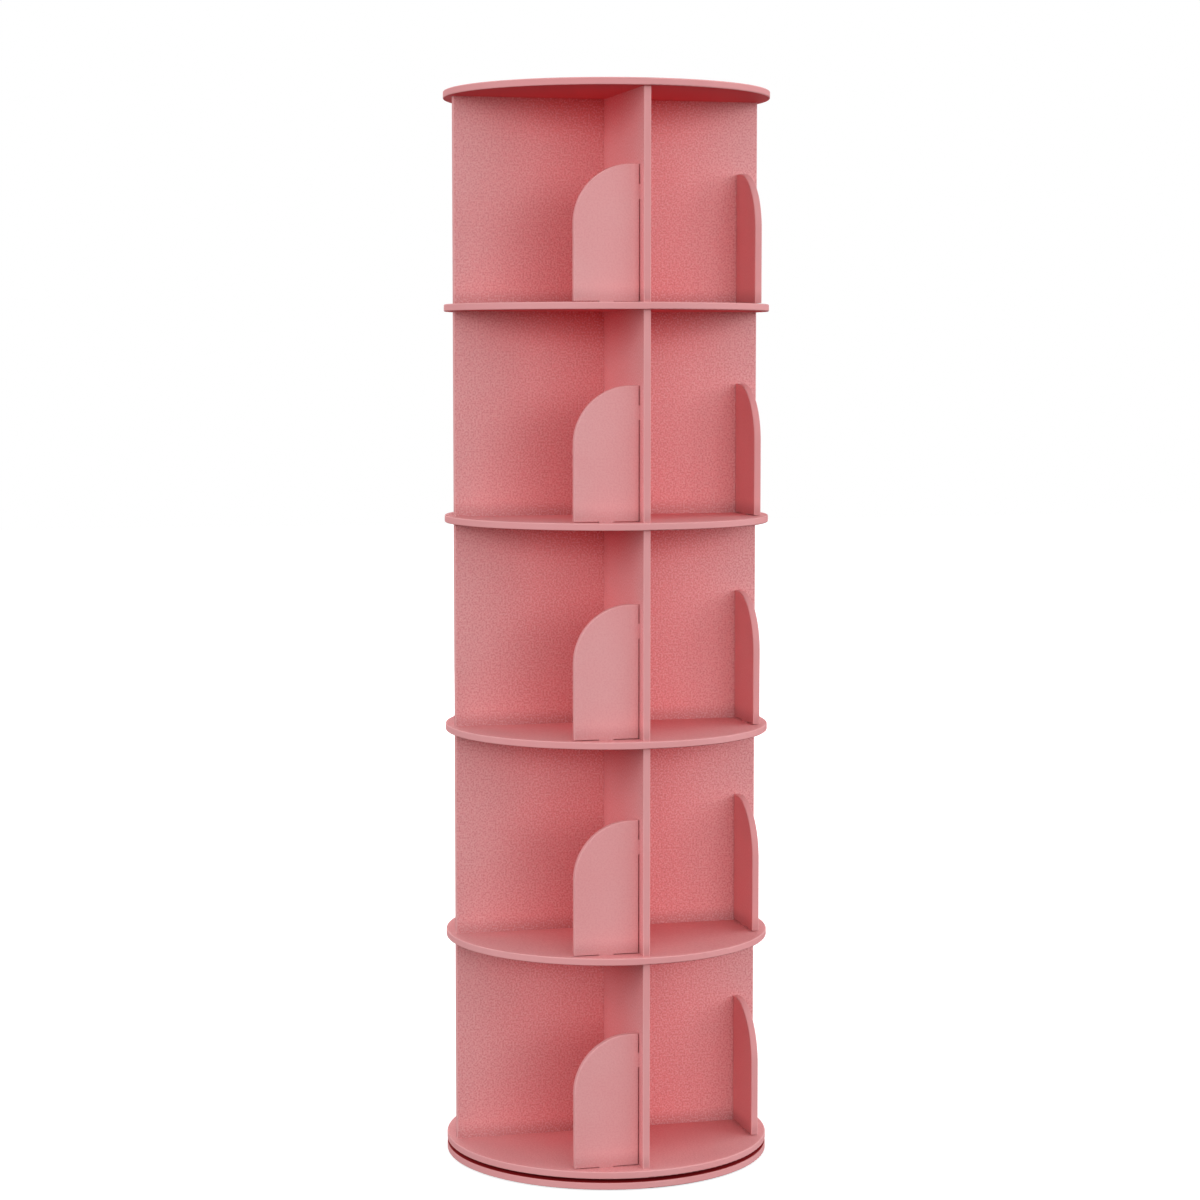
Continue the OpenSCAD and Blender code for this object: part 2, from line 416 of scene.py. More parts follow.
@dataclass(frozen=True)
class CoatedBoard(Finish):
    """Pink coated board: fine pebbles on its two faces, and matt eased edges.

    Shade is painted into the coat's colour where little light reaches it: towards the turning axis,
    under the next shelf, and on the shaded face of a level board. Painted shade also darkens the
    foot of an upright board. The peaks of the pebbles get a paler painted glint, the pits between
    them painted shade, and the eased edges a paler painted highlight.

    Attributes:
        axis: Direction of the board's thickness.
        middle: Place of the board's middle along it.
        half: Half of the thickness.
        tier_floor: Height of the lowest tier's floor.
        tier_pitch: Height from one tier's floor to the next.
        shaded: Face of a level board that has the under colour, a painted shade.
        fade_from: Distance from the axis at which the painted shade starts to fade.
        fade_to: Distance at which it is gone.
        open_share: Share of the painted shade low down on an upright board.
        shelf_share: Share of the painted shade on a level board.
        dark_from: Share of the tier's height above which the painted shade grows.
        foot_shade_height: Height of the painted shade at the foot of an upright board.
        foot_shade_share: Share of black at the bottom of that painted shade.
        ease: Width of an eased edge.
        face_start: Depth under a face at which the edge starts to turn into it.
        face_full: Depth at which it is all face.
        edge_highlight_share: Share of the corner colour, a painted highlight, on an eased edge.
        pebble: Width of the pebbles.
        pebble_depth: Depth of the pits between them.
        speckle: Strength of the painted glints on the peaks and of the painted shade in the pits, on an
            upright board.
        level_speckle: Their strength on a level board.
        drift: Width of broad patches of the coat.
        drift_share: Share of the painted shade's colour in them, a tone that differs at random.
    """

    axis: Axis
    middle: float
    half: float
    tier_floor: float
    tier_pitch: float
    shaded: Face = Face.UNDERSIDE
    # Painted shade on the shaded face of a level board
    under: Colour = Colour(222, 86, 91)
    # Painted shade towards the axis and under the next shelf
    painted_shade: Colour = Colour(236, 104, 109)
    pale: Colour = Colour(237, 168, 170)
    # Painted glint on the peaks of the pebbles
    painted_glint: Colour = Colour(252, 214, 214)
    # Painted shade in the pits between the pebbles
    pit_shade: Colour = Colour(205, 112, 116)
    # Painted highlight on the eased edges
    corner: Colour = Colour(240, 180, 180)
    fade_from: float = 60 * MM
    fade_to: float = 210 * MM
    open_share: float = 0.4
    shelf_share: float = 0.4
    dark_from: float = 0.7
    foot_shade_height: float = 24 * MM
    foot_shade_share: float = 0.28
    ease: float = 1.5 * MM
    face_start: float = 0.45 * MM
    face_full: float = 0.045 * MM
    edge_highlight_share: float = 0.6
    pebble: float = 2.5 * MM
    pebble_depth: float = 0.17 * MM
    pebble_grain: Range = (0.32, 0.72)
    speckle: float = 0.4
    level_speckle: float = 0.16
    glint_grain: Range = (0.5, 0.64)
    glint_share: float = 0.6
    pit_shade_grain: Range = (0.36, 0.5)
    drift: float = 120 * MM
    drift_grain: Range = (0.3, 0.7)
    drift_share: float = 0.12
    specular: float = 0.12
    upright_roughness: float = 0.25
    level_roughness: float = 0.8
    edge_roughness: float = 0.95

    def tier_share(self, graph: Graph) -> Value:
        """Height in the tier, from 0 at its floor to 1 at the next."""
        return ((graph.coordinate(Axis.Z) - self.tier_floor) * (1.0 / self.tier_pitch)).fraction()

    def depth(self, graph: Graph) -> Value:
        """Share of the painted shade, where little light reaches the board.

        It falls smoothly with the distance from the axis, and on an upright board it
        rises over the height of the tier.

        Args:
            graph: The material's node tree.

        Returns:
            The share, from 0 to 1.
        """
        inner = 1.0 - graph.axis_distance().rise(self.fade_from, self.fade_to)
        if self.axis is Axis.Z:
            return inner * self.shelf_share
        return inner * self.tier_share(graph).rise(self.dark_from, 1.0).between(self.open_share, 1.0)

    def shade(self, graph: Graph) -> dict[str, Any]:
        """Tells the faces from the edges by the distance across the board.

        Args:
            graph: The material's node tree.

        Returns:
            Values and links by socket name.
        """
        across = graph.coordinate(self.axis) - self.middle
        face = abs(across).rise(self.half - self.face_start, self.half - self.face_full)
        # Mask of the eased edges, which get a painted highlight
        corner = abs(across).rise(self.half - self.ease, self.half - self.ease / 2) * (1.0 - face)
        grain = graph.noise(self.pebble, detail=1.0)
        drift = graph.noise(self.drift, detail=3.0).rise(*self.drift_grain)
        # Painted shade towards the axis and under the next shelf, mixed with broad random patches of tone
        pale_share = (1.0 - self.depth(graph) * face) * drift.between(1.0 - self.drift_share, 1.0)
        colour = graph.blend(pale_share, self.painted_shade.linear(), self.pale.linear())
        pebbled, speckle, face_roughness = face, self.speckle, self.upright_roughness
        if self.axis is Axis.Z:
            # Painted shade: the under colour on the shaded face of a level board
            shaded = (self.shaded.value * across).rise(self.half - self.ease, self.half)
            colour = graph.blend(shaded, colour, self.under.linear())
            pebbled = face * (1.0 - shaded)
            speckle, face_roughness = self.level_speckle, self.level_roughness
        else:
            # Painted shade, darker towards the foot of an upright board
            above_foot_shade = self.tier_share(graph).rise(0.0, self.foot_shade_height / self.tier_pitch)
            colour = graph.blend(self.foot_shade_share * (1.0 - above_foot_shade), colour, grey(0.0))
        speckled = pebbled * speckle
        # Painted glints on the peaks of the pebbles, and painted shade in the pits between them
        painted_glints = self.glint_share * grain.rise(*self.glint_grain) * speckled
        pits = (1.0 - grain.rise(*self.pit_shade_grain)) * speckled
        colour = graph.blend(painted_glints, colour, self.painted_glint.linear())
        colour = graph.blend(pits, colour, self.pit_shade.linear())
        # Painted highlight on the eased edges
        colour = graph.blend(corner * self.edge_highlight_share, colour, self.corner.linear())
        return {
            "Base Color": colour,
            "Specular IOR Level": self.specular,
            "Roughness": face.between(self.edge_roughness, face_roughness),
            "Normal": graph.bump(grain.rise(*self.pebble_grain) * pebbled, self.pebble_depth),
        }

    @classmethod
    def across_node(cls, node: str, axis: Axis, **options: Any) -> CoatedBoard:
        """Fits the finish to a board of the frame.

        Args:
            node: The board's node.
            axis: Direction of its thickness.
            options: Other fields of the finish.

        Returns:
            The finish, named by its direction and the height or place of the board's middle.
        """
        low, high = (corner[axis.value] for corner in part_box(node))
        middle = (low + high) / 2
        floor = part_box("bottom_disc")[1].z
        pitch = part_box("shelf_disc_1")[1].z - floor
        name = f"coated_board_{axis.name.lower()}_{round(middle / MM)}"
        return cls(name, axis, middle, (high - low) / 2, floor, pitch, **options)


@dataclass(frozen=True)
class PressedSteel(Finish):
    """Galvanised sheet with the faint crystals of its zinc coat."""

    pale: Colour = Colour(196, 199, 203)
    dull: Colour = Colour(150, 154, 160)
    crystal: float = 7 * MM
    roughness: Range = (0.3, 0.45)
    grain: float = 1.5 * MM
    grain_roughness: float = 0.1

    def shade(self, graph: Graph) -> dict[str, Any]:
        """Varies brightness and gloss from crystal to crystal.

        Args:
            graph: The material's node tree.

        Returns:
            Values and links by socket name.
        """
        cell = graph.node("ShaderNodeRGBToBW", None, {"Color": graph.cells(self.crystal)})
        shade = Value(graph, cell.outputs["Val"])
        return {
            "Base Color": graph.blend(shade, self.dull.linear(), self.pale.linear()),
            "Metallic": 1.0,
            "Roughness": shade.between(*self.roughness) + self.grain_roughness * graph.noise(self.grain),
        }


@dataclass(frozen=True)
class CloudedMetal(Finish):
    """Bright metal with clouds that are duller and rougher."""

    bright: Colour
    cloud: Colour
    cloud_size: float
    cloud_detail: float
    cloud_grain: Range
    roughness: Range

    def shade(self, graph: Graph) -> dict[str, Any]:
        """Clouds the bright metal and roughens the clouds.

        Args:
            graph: The material's node tree.

        Returns:
            Values and links by socket name.
        """
        cloud = graph.noise(self.cloud_size, self.cloud_detail).rise(*self.cloud_grain)
        return {
            "Base Color": graph.blend(cloud, self.bright.linear(), self.cloud.linear()),
            "Metallic": 1.0,
            "Roughness": cloud.between(*self.roughness),
        }


@dataclass(frozen=True)
class ZincPlate(CloudedMetal):
    """Bright zinc on screws and on the rivet."""

    bright: Colour = Colour(205, 207, 210)
    cloud: Colour = Colour(176, 174, 166)
    cloud_size: float = 3 * MM
    cloud_detail: float = 3.0
    cloud_grain: Range = (0.4, 0.7)
    roughness: Range = (0.22, 0.4)


@dataclass(frozen=True)
class PolishedBall(CloudedMetal):
    """Polished bearing steel with a thin film of grease."""

    bright: Colour = Colour(214, 216, 219)
    cloud: Colour = Colour(186, 182, 170)
    cloud_size: float = 2 * MM
    cloud_detail: float = 2.0
    cloud_grain: Range = (0.45, 0.65)
    roughness: Range = (0.08, 0.28)


@dataclass(frozen=True)
class PadRubber(Finish):
    """Dark foam rubber of the floor pads."""

    dark: Colour = Colour(52, 52, 54)
    dusty: Colour = Colour(78, 77, 76)
    pore: float = 0.8 * MM
    pore_depth: float = 0.1 * MM
    pore_grain: Range = (0.4, 0.6)
    roughness: Range = (0.75, 0.9)

    def shade(self, graph: Graph) -> dict[str, Any]:
        """Pits the surface with pores and lightens their rims.

        Args:
            graph: The material's node tree.

        Returns:
            Values and links by socket name.
        """
        pore = graph.noise(self.pore, detail=1.0).rise(*self.pore_grain)
        return {
            "Base Color": graph.blend(pore, self.dark.linear(), self.dusty.linear()),
            "Roughness": pore.between(*self.roughness),
            "Normal": graph.bump(pore, self.pore_depth),
        }


@dataclass(frozen=True)
class CapPlastic(Finish):
    """Moulded plastic of the cover caps, finely blasted."""

    plain: Colour = Colour(239, 171, 173)
    worn: Colour = Colour(244, 184, 185)
    wear: float = 6 * MM
    wear_grain: Range = (0.4, 0.7)
    wear_share: float = 0.5
    blast: float = 0.5 * MM
    blast_depth: float = 0.03 * MM
    roughness: Range = (0.38, 0.5)

    def shade(self, graph: Graph) -> dict[str, Any]:
        """Roughens the plastic with a fine blast, and pales it where it is worn.

        Args:
            graph: The material's node tree.

        Returns:
            Values and links by socket name.
        """
        blast = graph.noise(self.blast, detail=1.0)
        worn = self.wear_share * graph.noise(self.wear).rise(*self.wear_grain)
        return {
            "Base Color": graph.blend(worn, self.plain.linear(), self.worn.linear()),
            "Roughness": blast.between(*self.roughness),
            "Normal": graph.bump(blast, self.blast_depth),
        }


def grid_quads(rows: int, columns: int) -> np.ndarray:
    """Quads of a grid of points whose last column meets its first.

    Point (i, j) has the number i * columns + j, and each quad joins (i, j), (i, j + 1),
    (i + 1, j + 1) and (i + 1, j), with the columns counted round.

    Args:
        rows: Number of rows.
        columns: Number of columns.

    Returns:
        An array of four point numbers for each quad.
    """
    row, column = np.meshgrid(np.arange(rows - 1), np.arange(columns), indexing="ij")
    after = (column + 1) % columns
    below, above = row * columns, (row + 1) * columns
    corners = [below + column, below + after, above + after, above + column]
    return np.stack(corners, axis=-1).reshape(-1, 4)


def turned(profile: np.ndarray, steps: int = 48) -> np.ndarray:
    """Turns a profile about the upright axis.

    A profile point at radius r and height z becomes the ring of points (r cos a, r sin a, z),
    with the angle a in even steps. The radius may be one number, or one for each angle.

    Args:
        profile: One row of radius and height for each ring, or one such row for each angle.
        steps: Number of angles.

    Returns:
        A grid of points, with a ring in each row.
    """
    angle = np.linspace(0.0, 2.0 * np.pi, steps, endpoint=False)
    spread = profile[:, None, :] if profile.ndim == 2 else profile
    rings = np.broadcast_to(spread, (len(profile), steps, 2))
    radius, height = rings[..., 0], rings[..., 1]
    return np.stack([radius * np.cos(angle), radius * np.sin(angle), height], axis=-1)


@dataclass(frozen=True)
class Repeated:
    """Closed forms, repeated at several places.

    Each form is a grid of points whose last column meets its first. A place is added to
    every point of it.

    Attributes:
        forms: The grids of points.
        places: One row of three coordinates for each place.
        weld: Distance within which points become one.
        sharp: Angle between faces above which their edge isn't smoothed.
    """

    forms: tuple[np.ndarray, ...]
    places: np.ndarray
    weld: float = 0.001 * MM
    sharp: float = math.radians(40)

    def points(self) -> np.ndarray:
        """Works out the points of every form at every place.

        Returns:
            One row of three coordinates for each point.
        """
        sets = [self.places[:, None, None, :] + form[None] for form in self.forms]
        return np.concatenate([points.reshape(-1, 3) for points in sets])

    def quads(self) -> np.ndarray:
        """Repeats the quads of each form for every place.

        Returns:
            An array of four point numbers for each quad.
        """
        sizes = np.repeat([form.shape[0] * form.shape[1] for form in self.forms], len(self.places))
        first = (np.cumsum(sizes) - sizes).reshape(len(self.forms), len(self.places))
        grids = [grid_quads(*form.shape[:2]) for form in self.forms]
        sets = [grid[None] + begin[:, None, None] for grid, begin in zip(grids, first)]
        return np.concatenate([quads.reshape(-1, 4) for quads in sets])

    def build(self, name: str) -> bpy.types.Object:
        """Makes the mesh object, with its poles closed and its faces turned outwards.

        Args:
            name: The piece's name.

        Returns:
            The new object.
        """
        mesh = bpy.data.meshes.new(name)
        mesh.from_pydata(self.points().tolist(), [], self.quads().tolist())
        form = bmesh.new()
        form.from_mesh(mesh)
        bmesh.ops.remove_doubles(form, verts=form.verts, dist=self.weld)
        bmesh.ops.recalc_face_normals(form, faces=form.faces)
        form.to_mesh(mesh)
        form.free()
        mesh.polygons.foreach_set("use_smooth", np.ones(len(mesh.polygons), dtype=bool))
        mesh.set_sharp_from_angle(angle=self.sharp)
        piece = bpy.data.objects.new(name, mesh)
        bpy.context.scene.collection.objects.link(piece)
        return piece


def round_places(radii: list[float], angles: np.ndarray, heights: list[float]) -> np.ndarray:
    """Places round the turning axis.

    Args:
        radii: Distances from the axis.
        angles: Angles from +X in radians.
        heights: Heights, each of which takes every radius and angle.

    Returns:
        One row of three coordinates for each place.
    """
    radius, angle, height = np.meshgrid(radii, angles, heights, indexing="ij")
    return np.stack([radius * np.cos(angle), radius * np.sin(angle), height], axis=-1).reshape(-1, 3)


def arc(
    centre: tuple[float, float], radius: float, start: float, end: float, count: int = 7
) -> np.ndarray:
    """Arc of a profile: the points (x + r cos a, z + r sin a) for angles in even steps.

    Args:
        centre: Middle of the arc.
        radius: Its radius.
        start: First angle in degrees.
        end: Last angle in degrees.
        count: Number of points.

    Returns:
        One row of radius and height for each point.
    """
    angle = np.radians(np.linspace(start, end, count))
    return np.array(centre) + radius * np.stack([np.cos(angle), np.sin(angle)], axis=-1)


def dress_nodes(nodes: Nodes, finishes: dict[str, Finish]) -> None:
    """Dresses nodes of the frame and reports them.

    Args:
        nodes: The frame's nodes by name.
        finishes: The finish of each node, by the node's name.
    """
    for name, finish in finishes.items():
        finish.dress(nodes[name])
        log.info("%s: %s", name, finish.name)


def place_piece(piece: bpy.types.Object, finish: Finish, body: Body, node: str) -> None:
    """Dresses a new piece, gives it its place in the frame and reports it.

    Args:
        piece: The new piece.
        finish: Its finish.
        body: The body that it rides on.
        node: The node that it replaces.
    """
    finish.dress(piece)
    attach(piece, body.value)
    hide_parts(node)
    log.info("%s: %s", piece.name, finish.name)


@dataclass
class BaseStand:
    """Base plate on the floor, with its floor pads."""

    nodes: Nodes
    pad_count: int = 8
    pad_diameter: float = 25 * MM
    pad_inset: float = 30 * MM
    rib_pitch: float = 2.5 * MM
    rib_depth: float = 0.4 * MM
    pad_lip: float = 0.6 * MM
    pad_rings: int = 41

    def pad_profile(self) -> np.ndarray:
        """Profile of a floor pad.

        Its underside is rings of ribs, of height d (1 - cos(2 pi r / p)) / 2 at radius r.
        The rim is rounded, and the top is flat.

        Returns:
            One row of radius and height for each point.
        """
        radius = self.pad_diameter / 2
        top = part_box("floor_pads")[1].z
        flat = np.linspace(0.0, radius - self.pad_lip, self.pad_rings)
        rib = self.rib_depth * (1 - np.cos(2 * np.pi * flat / self.rib_pitch)) / 2
        lower = arc((radius - self.pad_lip, self.pad_lip), self.pad_lip, -90, 0)
        return np.concatenate([np.stack([flat, rib], axis=-1), lower, [[radius, top], [0.0, top]]])

    def build_pads(self) -> None:
        """Makes the floor pads as one piece on the base."""
        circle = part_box("base_plate")[1].x - self.pad_inset
        angles = (np.arange(self.pad_count) + 0.5) * 2 * np.pi / self.pad_count
        places = round_places([circle], angles, [0.0])
        pads = Repeated((turned(self.pad_profile()),), places).build("ribbed_floor_pads")
        place_piece(pads, PadRubber("pad_rubber"), Body.BASE, "floor_pads")

    def build(self) -> None:
        """Dresses the base plate and adds the pads."""
        # Painted shade on the plate's top face in the gap under the bottom disc
        plate = CoatedBoard.across_node("base_plate", Axis.Z, shaded=Face.TOP, under=GAP_SHADE_COLOUR)
        dress_nodes(self.nodes, {"base_plate": plate})
        self.build_pads()


@dataclass
class Turntable:
    """Ball turntable between the base plate and the bottom disc."""

    nodes: Nodes
    sheets: tuple[str, ...] = ("bearing_lower_plate", "bearing_upper_plate", "ball_retainer")
    rivet: str = "pivot_rivet"
    balls: str = "bearing_balls"

    def build(self) -> None:
        """Dresses the plates, the balls and the rivet."""
        finishes = {self.balls: PolishedBall("polished_balls"), self.rivet: ZincPlate("zinc_plate")}
        finishes |= {name: PressedSteel("pressed_steel") for name in self.sheets}
        dress_nodes(self.nodes, finishes)


@dataclass
class Shelves:
    """Round boards of the carousel, with the cover caps in the top one."""

    nodes: Nodes
    tiers: int
    cap_diameter: float = 12 * MM
    cap_lip: float = 0.7 * MM
    cap_crown: float = 0.5 * MM
    cap_rings: int = 12
    lip_angle: float = 80.0

    def cap_profile(self) -> np.ndarray:
        """Profile of a cover cap.

        The dome has the height h (1 - (r / R)^2) over the disc at radius r, then comes a
        rounded lip that meets the disc, and then the skirt down to a flat underside.

        Returns:
            One row of radius and height for each point.
        """
        low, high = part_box("screw_caps")
        radius = self.cap_diameter / 2
        dome = np.linspace(0.0, radius - self.cap_lip, self.cap_rings)
        crown = high.z + self.cap_crown * (1 - (dome / radius) ** 2)
        lip = arc((radius - self.cap_lip, crown[-1] - self.cap_lip), self.cap_lip, self.lip_angle, 0)
        return np.concatenate([np.stack([dome, crown], axis=-1), lip, [[radius, low.z], [0.0, low.z]]])

    def build_caps(self) -> None:
        """Makes the domed cover caps of the top disc as one piece on the carousel."""
        places = round_places(board_rows(), ARMS, [0.0])
        caps = Repeated((turned(self.cap_profile()),), places).build("domed_cover_caps")
        place_piece(caps, CapPlastic("blasted_plastic"), Body.CAROUSEL, "screw_caps")

    def build(self) -> None:
        """Dresses the discs and adds the cover caps."""
        finishes = {
            # Painted shade on the bottom disc's underside over the gap
            "bottom_disc": CoatedBoard.across_node("bottom_disc", Axis.Z, under=GAP_SHADE_COLOUR),
            "top_disc": CoatedBoard.across_node("top_disc", Axis.Z, shelf_share=0.0),
        }
        for name in (f"shelf_disc_{level}" for level in range(1, self.tiers)):
            finishes[name] = CoatedBoard.across_node(name, Axis.Z)
        dress_nodes(self.nodes, finishes)
        self.build_caps()


@dataclass(frozen=True)
class WoodScrew:
    """Threaded screw with a cross recess, its seat at height 0 and its point down.

    It has a countersunk head, or a pan head where the height of one is given.
    """

    length: float
    pan_height: float = 0.0
    diameter: float = 3.5 * MM
    head_diameter: float = 7 * MM
    core_diameter: float = 2.3 * MM
    tip_length: float = 4 * MM
    tip_diameter: float = 0.6 * MM
    wing_width: float = 0.9 * MM
    recess_depth: float = 1.4 * MM
    recess_rings: int = 5
    pitch: float = 1.9 * MM
    ridge_width: float = 0.8 * MM
    steps: int = 24
    turn_steps: int = 12

    def recess(self) -> np.ndarray:
        """Rings of the cross recess.

        Its edge at angle b from the nearest wing is at the radius R, which is the smaller of
        the wing's length and half its width over sin b. The ring at share t of R lies at the
        depth d (1 - t^2) under the head.

        Returns:
            One row of radius and height for each ring and angle.
        """
        angle = np.linspace(0.0, 2.0 * np.pi, self.steps, endpoint=False)
        beside = np.abs(np.sin((angle + np.pi / 4) % (np.pi / 2) - np.pi / 4))
        half_width = self.wing_width / 2
        edge = half_width / np.maximum(beside, half_width / (self.diameter / 2))
        share = np.linspace(0.0, 1.0, self.recess_rings)[:, None]
        height = self.pan_height - self.recess_depth * (1 - share**2)
        return np.stack(np.broadcast_arrays(share * edge, height), axis=-1)

    def shank(self) -> np.ndarray:
        """Profile of the core from under the head down to the tip.

        A countersunk head is a cone, so the core starts below it. It starts at the flat seat
        of a pan head.

        Returns:
            One row of radius and height for each point.
        """
        head, core, tip = self.head_diameter / 2, self.core_diameter / 2, self.tip_diameter / 2
        start = 0.0 if self.pan_height else core - head
        return np.array([[core, start], [core, self.tip_length - self.length], [tip, -self.length]])

    def outline(self) -> np.ndarray:
        """Profile from the edge of the head down to the point.

        The edge of a countersunk head is sharp, and a pan head has a rounded side.

        Returns:
            One row of radius and height for each point.
        """
        head = self.head_diameter / 2
        edge = np.array([[head, 0.0]])
        if self.pan_height:
            round_off = self.pan_height / 2
            edge = np.concatenate([arc((head - round_off, round_off), round_off, 90, 0), edge])
        return np.concatenate([edge, self.shank(), [[0.0, -self.length]]])

    def thread(self) -> np.ndarray:
        """Ridge of the thread, a triangle carried along a helix.

        At the angle -a the triangle lies at the height -p a / 2 pi, with its base on the core
        and its point at the thread's radius, which makes a right-handed thread. It shrinks to
        nothing over the first and the last turn.

        Returns:
            A grid of points, with a triangle in each row.
        """
        core = self.shank()
        top, bottom = core[0, 1] - self.ridge_width, core[-1, 1] + self.ridge_width
        turns = math.floor((top - bottom) / self.pitch)
        angle = np.linspace(0.0, 2.0 * np.pi * turns, turns * self.turn_steps + 1)[:, None]
        size = np.clip(np.minimum(angle, angle[-1] - angle) / (2.0 * np.pi), 0.0, 1.0)
        middle = top - self.pitch * angle / (2.0 * np.pi)
        base = np.interp(middle, core[::-1, 1], core[::-1, 0])
        rise = (self.diameter - self.core_diameter) / 2
        radius = base + size * rise * np.array([0.0, 1.0, 0.0])
        height = middle + size * self.ridge_width / 2 * np.array([1.0, 0.0, -1.0])
        return np.stack([radius * np.cos(angle), -radius * np.sin(angle), height], axis=-1)

    def forms(self, way: float = 1.0) -> tuple[np.ndarray, np.ndarray]:
        """Body and thread of the screw.

        Args:
            way: 1 for a point that is down, and -1 for one that is up.

        Returns:
            The two grids of points.
        """
        outline = np.repeat(self.outline()[:, None, :], self.steps, axis=1)
        body = turned(np.concatenate([self.recess(), outline]), self.steps)
        turn = np.array([1.0, way, way])
        return body * turn, self.thread() * turn


@dataclass
class Screws:
    """Screws of the boards and of the turntable, with their threads."""

    tiers: int
    plate_row: float = 60 * MM
    board_length: float = 35 * MM
    pan_height: float = 2 * MM

    def build_set(
        self, node: str, body: Body, forms: tuple[np.ndarray, ...], places: np.ndarray
    ) -> None:
        """Makes the screws of one node as one piece.

        Args:
            node: The node that the piece replaces.
            body: The body that it rides on.
            forms: Body and thread of the screw.
            places: Places of the seats of the heads.
        """
        piece = Repeated(forms, places).build(f"threaded_{node}")
        place_piece(piece, ZincPlate("zinc_plate"), body, node)

    def build_board_screws(self) -> None:
        """Makes the screws down through the upper discs, and those up through the bottom disc."""
        screw = WoodScrew(self.board_length)
        seats = [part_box(f"shelf_disc_{level}")[1].z for level in range(1, self.tiers)]
        seats.append(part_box("screw_caps")[0].z)
        places = round_places(board_rows(), ARMS, seats)
        self.build_set("disc_screws", Body.CAROUSEL, screw.forms(), places)
        places = round_places(board_rows(), ARMS, [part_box("bottom_disc")[0].z])
        self.build_set("bottom_disc_screws", Body.CAROUSEL, screw.forms(way=-1.0), places)

    def build_plate_screws(self) -> None:
        """Makes the screws of the turntable's upper plate and those of its lower plate."""
        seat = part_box("bottom_disc")[1].z
        screw = WoodScrew(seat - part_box("upper_plate_screws")[0].z)
        places = round_places([self.plate_row], ARMS + np.pi / len(Side), [seat])
        self.build_set("upper_plate_screws", Body.CAROUSEL, screw.forms(), places)
        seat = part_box("bearing_lower_plate")[1].z
        screw = WoodScrew(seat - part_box("lower_plate_screws")[0].z, self.pan_height)
        places = round_places([self.plate_row], ARMS, [seat])
        self.build_set("lower_plate_screws", Body.BASE, screw.forms(), places)

    def build(self) -> None:
        """Makes the four sets of screws."""
        self.build_board_screws()
        self.build_plate_screws()


@dataclass
class Tier:
    """Crossed dividers of one tier, with a stop on each arm.

    The painted shade reaches farther out on the divider from front to back. The pebbles of that
    divider and of the stops are finer.
    """

    nodes: Nodes
    level: int
    left_right_fade: float = 240 * MM
    front_back_fade: float = 300 * MM
    fine_pebble: float = 0.08 * MM
    front_back_speckle: float = 0.2
    stop_speckle: float = 0.1

    def fine_board(self, name: str, axis: Axis, **options: float) -> CoatedBoard:
        """Fits the finish with the finer pebbles to a board.

        Args:
            name: The board's node.
            axis: Direction of its thickness.
            options: Other fields of the finish.

        Returns:
            The finish.
        """
        return CoatedBoard.across_node(name, axis, pebble_depth=self.fine_pebble, **options)

    def build(self) -> None:
        """Dresses the dividers and the stops of the tier."""
        left_right = f"tier_{self.level}_divider_left_right"
        front_back = f"tier_{self.level}_divider_front_back"
        finishes = {
            left_right: CoatedBoard.across_node(left_right, Axis.Y, fade_to=self.left_right_fade),
            front_back: self.fine_board(
                front_back, Axis.X, fade_to=self.front_back_fade, speckle=self.front_back_speckle
            ),
        }
        for side in Side:
            stop = f"tier_{self.level}_stop_{side.word}"
            finishes[stop] = self.fine_board(stop, side.stop_axis, speckle=self.stop_speckle)
        dress_nodes(self.nodes, finishes)


@dataclass(frozen=True)
class Softbox:
    """Large soft lamp that faces the axis of the bookcase.

    Attributes:
        name: The lamp's name.
        azimuth: Angle round the axis in degrees, from the front towards the right.
        distance: Distance from the axis.
        height: Height over the floor.
        aim: Height on the axis that it faces.
        size: Width and height of its face.
        radiance: Brightness of its face.
    """

    name: str
    azimuth: float
    distance: float
    height: float
    aim: float
    size: tuple[float, float]
    radiance: float

    def build(self) -> bpy.types.Object:
        """Adds the lamp.

        Its power is pi times its area times the brightness of its face.

        Returns:
            The lamp's object.
        """
        lamp = bpy.data.lights.new(self.name, "AREA")
        lamp.shape = "RECTANGLE"
        lamp.size, lamp.size_y = self.size
        lamp.energy = math.pi * self.size[0] * self.size[1] * self.radiance
        holder = bpy.data.objects.new(self.name, lamp)
        turn = math.radians(self.azimuth)
        holder.location = (self.distance * math.sin(turn), -self.distance * math.cos(turn), self.height)
        tilt = math.atan2(self.aim - self.height, self.distance)
        holder.rotation_euler = (math.pi / 2 + tilt, 0.0, turn)
        holder.visible_camera = False
        bpy.context.scene.collection.objects.link(holder)
        return holder


